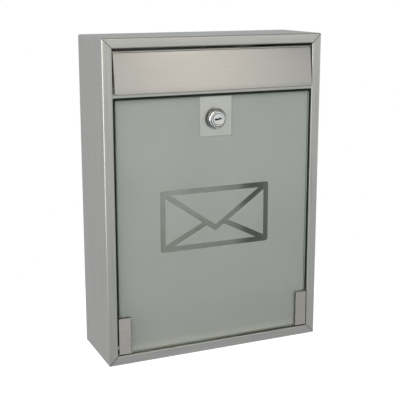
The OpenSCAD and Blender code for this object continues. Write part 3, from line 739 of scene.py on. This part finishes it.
KEPT = {
    case_finish: ["body_shell"],
    plate_finish: ["back_panel"],
    bar_finish: ["crossbar"],
    flap_finish: ["mail_flap"],
    clip_finish: ["hinge_clip_left", "hinge_clip_right"],
    lock_plate_finish: ["lock_plate"],
    zinc_finish: ["flap_hinge_rod", "lock_cam", "cam_screw", "hinge_pin_left", "hinge_pin_right",
                  "clip_screws"],
    plug_finish: ["lock_plug"],
    brass_finish: ["lock_wafers"],
    print_finish: ["frosted_print"],
    rubber_finish: ["clip_liner_left", "clip_liner_right"],
    nylon_finish: ["hinge_bushes"],
}
for finish_of, kept in KEPT.items():
    for name in kept:
        nodes[name].data.materials.clear()
        nodes[name].data.materials.append(finish_of)

glass_door(glass_finish, edge_finish, lock_centre)
lock_body(chrome_finish, lock_centre)
hexagon_nut(zinc_finish, lock_centre)
bezel_washer(rubber_finish, lock_centre)
flap_pads(rubber_finish)
door_seal_strip(rubber_finish)
side_seal_strips(rubber_finish)
bar_rivets(zinc_finish)
rod_push_nuts(zinc_finish)


# Room, light and camera ---------------------------------------------------------------------------

def studio_floor():
    """Plain pale floor a quarter of a metre below the box. The eye sees it almost white, but it throws
    only the light of grey paper up at the box, and the box doesn't mirror it."""
    half, drop = 0.9, 0.25
    z = cad_box[0][2] - drop
    corners = [(-half, -half, z), (half, -half, z), (half, half, z), (-half, half, z)]
    mesh = bpy.data.meshes.new("floor")
    mesh.from_pydata(corners, [], [(0, 1, 2, 3)])
    floor = bpy.data.objects.new("floor", mesh)
    bpy.context.scene.collection.objects.link(floor)
    paper, tree, place = finish("pale_paper")
    fibre = add(tree, "TexNoise", {"Scale": 3.0, "Detail": 2.0}, {"Vector": place}).outputs["Fac"]
    tone = add(tree, "Mix", {"data_type": "RGBA", 6: linear("#B4B4B2"), 7: linear("#B8B8B6")},
               {0: fibre}).outputs[2]
    matt = add(tree, "BsdfDiffuse", links={"Color": tone})
    bright = add(tree, "Emission", {"Strength": 0.88})
    both = add(tree, "AddShader", links={0: matt.outputs[0], 1: bright.outputs[0]})
    seen = add(tree, "LightPath").outputs["Is Camera Ray"]
    pick = add(tree, "MixShader", links={0: seen, 1: matt.outputs[0], 2: both.outputs[0]})
    add(tree, "OutputMaterial", links={"Surface": pick.outputs[0]})
    mesh.materials.append(paper)
    floor.visible_glossy = False


def studio_walls():
    """White surround for the eye. Its light is grey: in front it is brightest at the level of the box and
    falls off above and below, and behind it is more even."""
    world = bpy.data.worlds.new("studio")
    bpy.context.scene.world = world
    world.use_nodes = True
    tree = world.node_tree
    tree.nodes.clear()
    way = add(tree, "TexCoord").outputs["Generated"]
    _, depth, height = add(tree, "SeparateXYZ", links={0: way}).outputs
    at_height = add(tree, "MapRange", {"From Min": -0.5, "From Max": 0.5}, {"Value": height}).outputs[0]
    front, rear = (add(tree, "ValToRGB", links={0: at_height}) for _ in range(2))
    red, blue = 0.975, 1.015
    levels = {front: ((0.0, 0.54), (0.15, 0.53), (0.30, 0.70), (0.42, 0.86), (0.5, 0.92), (0.62, 0.66),
                      (1.0, 0.32)),
              rear: ((0.0, 0.62), (0.45, 0.64), (0.55, 0.66), (0.7, 0.72), (1.0, 0.52))}
    for ramp, stops in levels.items():
        for at, _ in stops[1:-1]:
            ramp.color_ramp.elements.new(at)
        for stop, (at, level) in zip(ramp.color_ramp.elements, stops):
            stop.position, stop.color = at, (red * level, level, blue * level, 1)
    behind = add(tree, "MapRange", {"From Min": -0.3, "From Max": 0.3}, {"Value": depth}).outputs[0]
    colour = add(tree, "Mix", {"data_type": "RGBA"},
                 {0: behind, 6: front.outputs[0], 7: rear.outputs[0]}).outputs[2]
    light = add(tree, "Background", links={"Color": colour})
    white = add(tree, "Background", {"Color": (1, 1, 1, 1), "Strength": 1.0})
    seen = add(tree, "LightPath").outputs["Is Camera Ray"]
    pick = add(tree, "MixShader", links={0: seen, 1: light.outputs[0], 2: white.outputs[0]})
    add(tree, "OutputWorld", links={"Surface": pick.outputs[0]})


def softbox(name, place, aim, width, height, watts, colour):
    """A rectangular softbox that points at aim and that the camera doesn't see."""
    lamp = bpy.data.lights.new(name, "AREA")
    lamp.shape, lamp.size, lamp.size_y = "RECTANGLE", width, height
    lamp.energy, lamp.color = watts, linear(colour)[:3]
    box = bpy.data.objects.new(name, lamp)
    way = np.array(aim, float) - np.array(place, float)
    way /= np.linalg.norm(way)
    box.location = place
    box.rotation_euler = Euler((math.acos(-way[2]), 0, math.atan2(-way[0], way[1])))
    box.visible_camera = False
    bpy.context.scene.collection.objects.link(box)


def camera():
    """A long lens from the front left, a little above the box."""
    lens = bpy.data.cameras.new("camera")
    lens.lens, lens.sensor_width, lens.shift_y = 81.1, 36.0, -0.05
    eye = bpy.data.objects.new("camera", lens)
    eye.location = (-0.4438, -1.0613, 0.2519)
    eye.rotation_euler = Euler([math.radians(a) for a in (77.82, 0.065, -23.59)])
    bpy.context.scene.collection.objects.link(eye)
    bpy.context.scene.camera = eye


studio_floor()
studio_walls()
softbox("front_softbox", place=(0.8, -2.0, 0.8), aim=(0, 0, 0.1), width=0.35, height=1.2, watts=3.5,
        colour="#FFF0DC")
softbox("left_softbox", place=(-1.1, -0.3, 0.12), aim=(0, 0, 0.1), width=0.5, height=0.8, watts=3.4,
        colour="#FFFDF8")
softbox("key_softbox", place=(-0.55, -0.95, 0.8), aim=(0, 0, 0), width=1.2, height=1.2, watts=9.0,
        colour="#FFF5E9")
camera()
bpy.context.scene.view_settings.view_transform = "Standard"
